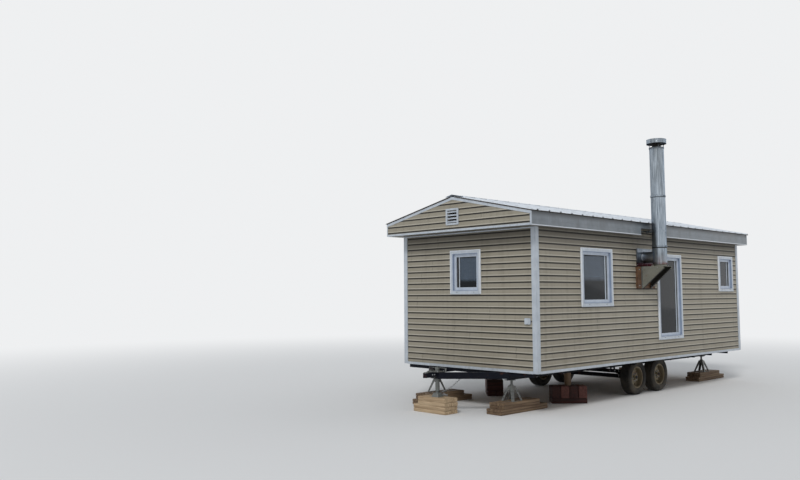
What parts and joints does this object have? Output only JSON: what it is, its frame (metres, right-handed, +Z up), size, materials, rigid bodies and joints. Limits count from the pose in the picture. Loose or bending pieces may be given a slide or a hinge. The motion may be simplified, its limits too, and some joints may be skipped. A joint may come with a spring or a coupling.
{
  "type": "hunting cabin",
  "caption": "Vinyl-sided gable-roofed hunting cabin with an outside stove chimney, built on a tandem-axle flat-deck trailer and parked on jack stands and timber.",
  "frame": {"origin": "on the ground under the middle of the whole object, tongue and chimney included", "axes": "+X along the cabin away from the tongue, -Y out of the chimney wall, +Z up"},
  "size_m": [8.6, 3.6002, 4.686],
  "materials": {
    "vinyl_siding": "satin beige vinyl, horizontal courses",
    "white_trim": "white vinyl, weathered",
    "eave_metal": "pale grey prepainted steel",
    "roof_steel": "white prepainted ribbed steel",
    "glass": "clear double glazing over a dark room",
    "door_paint": "white insulated door",
    "stainless": "brushed stainless, streaked",
    "galvanised": "galvanised, dulled",
    "board": "stained board",
    "timber": "rough sawn, weathered",
    "crib": "dark red stained timber",
    "floor": "plywood deck and ceiling boards",
    "chassis": "black chassis paint, dusty",
    "tyre": "worn rubber with dust",
    "rim": "tan wheel paint under dirt"
  },
  "bodies": {
    "cabin": {"axles": "chassis", "back_door": "door_paint", "back_fascia": "eave_metal", "back_roof": "roof_steel", "back_wall": "vinyl_siding", "back_windows": "white_trim", "backing_board": "board", "base_trim": "white_trim", "ceiling": "floor", "chassis_rails": "chassis", "chimney_bracket": "galvanised", "chimney_lower_section": "stainless", "chimney_tee": "stainless", "chimney_upper_section": "stainless", "corner_posts": "white_trim", "coupler": "chassis", "crib_blocks": "crib", "crossmembers": "chassis", "door_frame": "door_paint", "eave_soffits": "eave_metal", "floor_deck": "floor", "front_fascia": "eave_metal", "front_roof": "roof_steel", "front_wall": "vinyl_siding", "front_windows": "white_trim", "gable_faces": "vinyl_siding", "gable_soffits": "eave_metal", "gable_vents": "white_trim", "gable_windows": "white_trim", "jack_stands": "galvanised", "leaf_springs": "chassis", "left_gable_wall": "vinyl_siding", "lower_timbers": "timber", "power_inlet": "white_trim", "rain_cap": "stainless", "rake_trims": "white_trim", "ridge_cap": "roof_steel", "right_gable_wall": "vinyl_siding", "spring_hangers": "chassis", "tongue_beams": "chassis", "tongue_jack": "galvanised", "upper_timbers": "timber", "wall_strap": "stainless", "wall_thimble": "stainless", "window_glass": "glass"},
    "front_lead_wheel": {"front_lead_tyre": "tyre", "front_lead_rim": "rim"},
    "front_rear_wheel": {"front_rear_tyre": "tyre", "front_rear_rim": "rim"},
    "back_lead_wheel": {"back_lead_tyre": "tyre", "back_lead_rim": "rim"},
    "back_rear_wheel": {"back_rear_tyre": "tyre", "back_rear_rim": "rim"}
  },
  "joints": [
    {"name": "front_lead_wheel_spin", "type": "hinge", "parent": "cabin", "child": "front_lead_wheel", "pos_m": [0.2, -0.91162, 0.32], "axis": [0, 1, 0], "continuous": true},
    {"name": "front_rear_wheel_spin", "type": "hinge", "parent": "cabin", "child": "front_rear_wheel", "pos_m": [1.03, -0.91162, 0.32], "axis": [0, 1, 0], "continuous": true},
    {"name": "back_lead_wheel_spin", "type": "hinge", "parent": "cabin", "child": "back_lead_wheel", "pos_m": [0.2, 1.21338, 0.32], "axis": [0, 1, 0], "continuous": true},
    {"name": "back_rear_wheel_spin", "type": "hinge", "parent": "cabin", "child": "back_rear_wheel", "pos_m": [1.03, 1.21338, 0.32], "axis": [0, 1, 0], "continuous": true}
  ]
}
